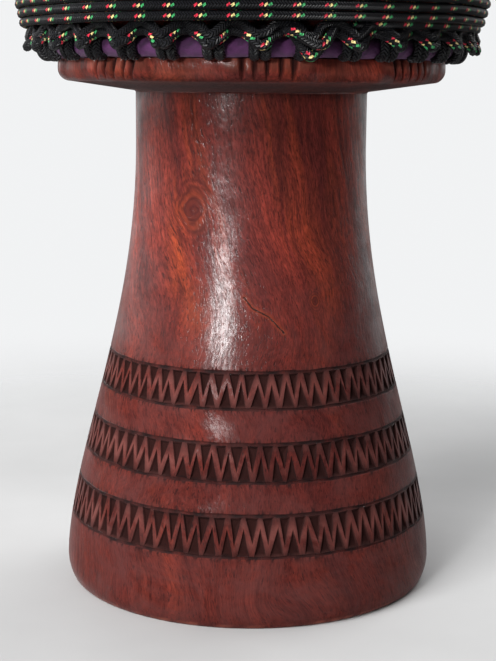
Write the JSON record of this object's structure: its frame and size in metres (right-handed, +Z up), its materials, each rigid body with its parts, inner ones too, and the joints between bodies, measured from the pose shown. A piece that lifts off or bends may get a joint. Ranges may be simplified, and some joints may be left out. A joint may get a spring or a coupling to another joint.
{
  "type": "rope-tuned goblet hand drum",
  "caption": "Wooden goblet drum with zigzag bands carved round its foot, a notched collar, a skin head, cloth-wrapped rings and black rope lacing.",
  "frame": {"origin": "middle of the underside of the foot, on the floor", "axes": "+Z up along the drum's axis to the head; -Y towards the side shown in the picture; +X to the viewer's right"},
  "size_m": [0.3588, 0.3588, 0.5995],
  "materials": {
    "wood": "satin",
    "skin": "matte",
    "cloth": "matte",
    "rope": "matte"
  },
  "bodies": {
    "root": {"shell": "wood", "drumhead": "skin", "crown_ring": "cloth", "crown_loops": "rope", "lacing_rope": "rope", "waist_wraps": "rope", "bottom_ring": "cloth", "bottom_loops": "rope"}
  },
  "joints": []
}
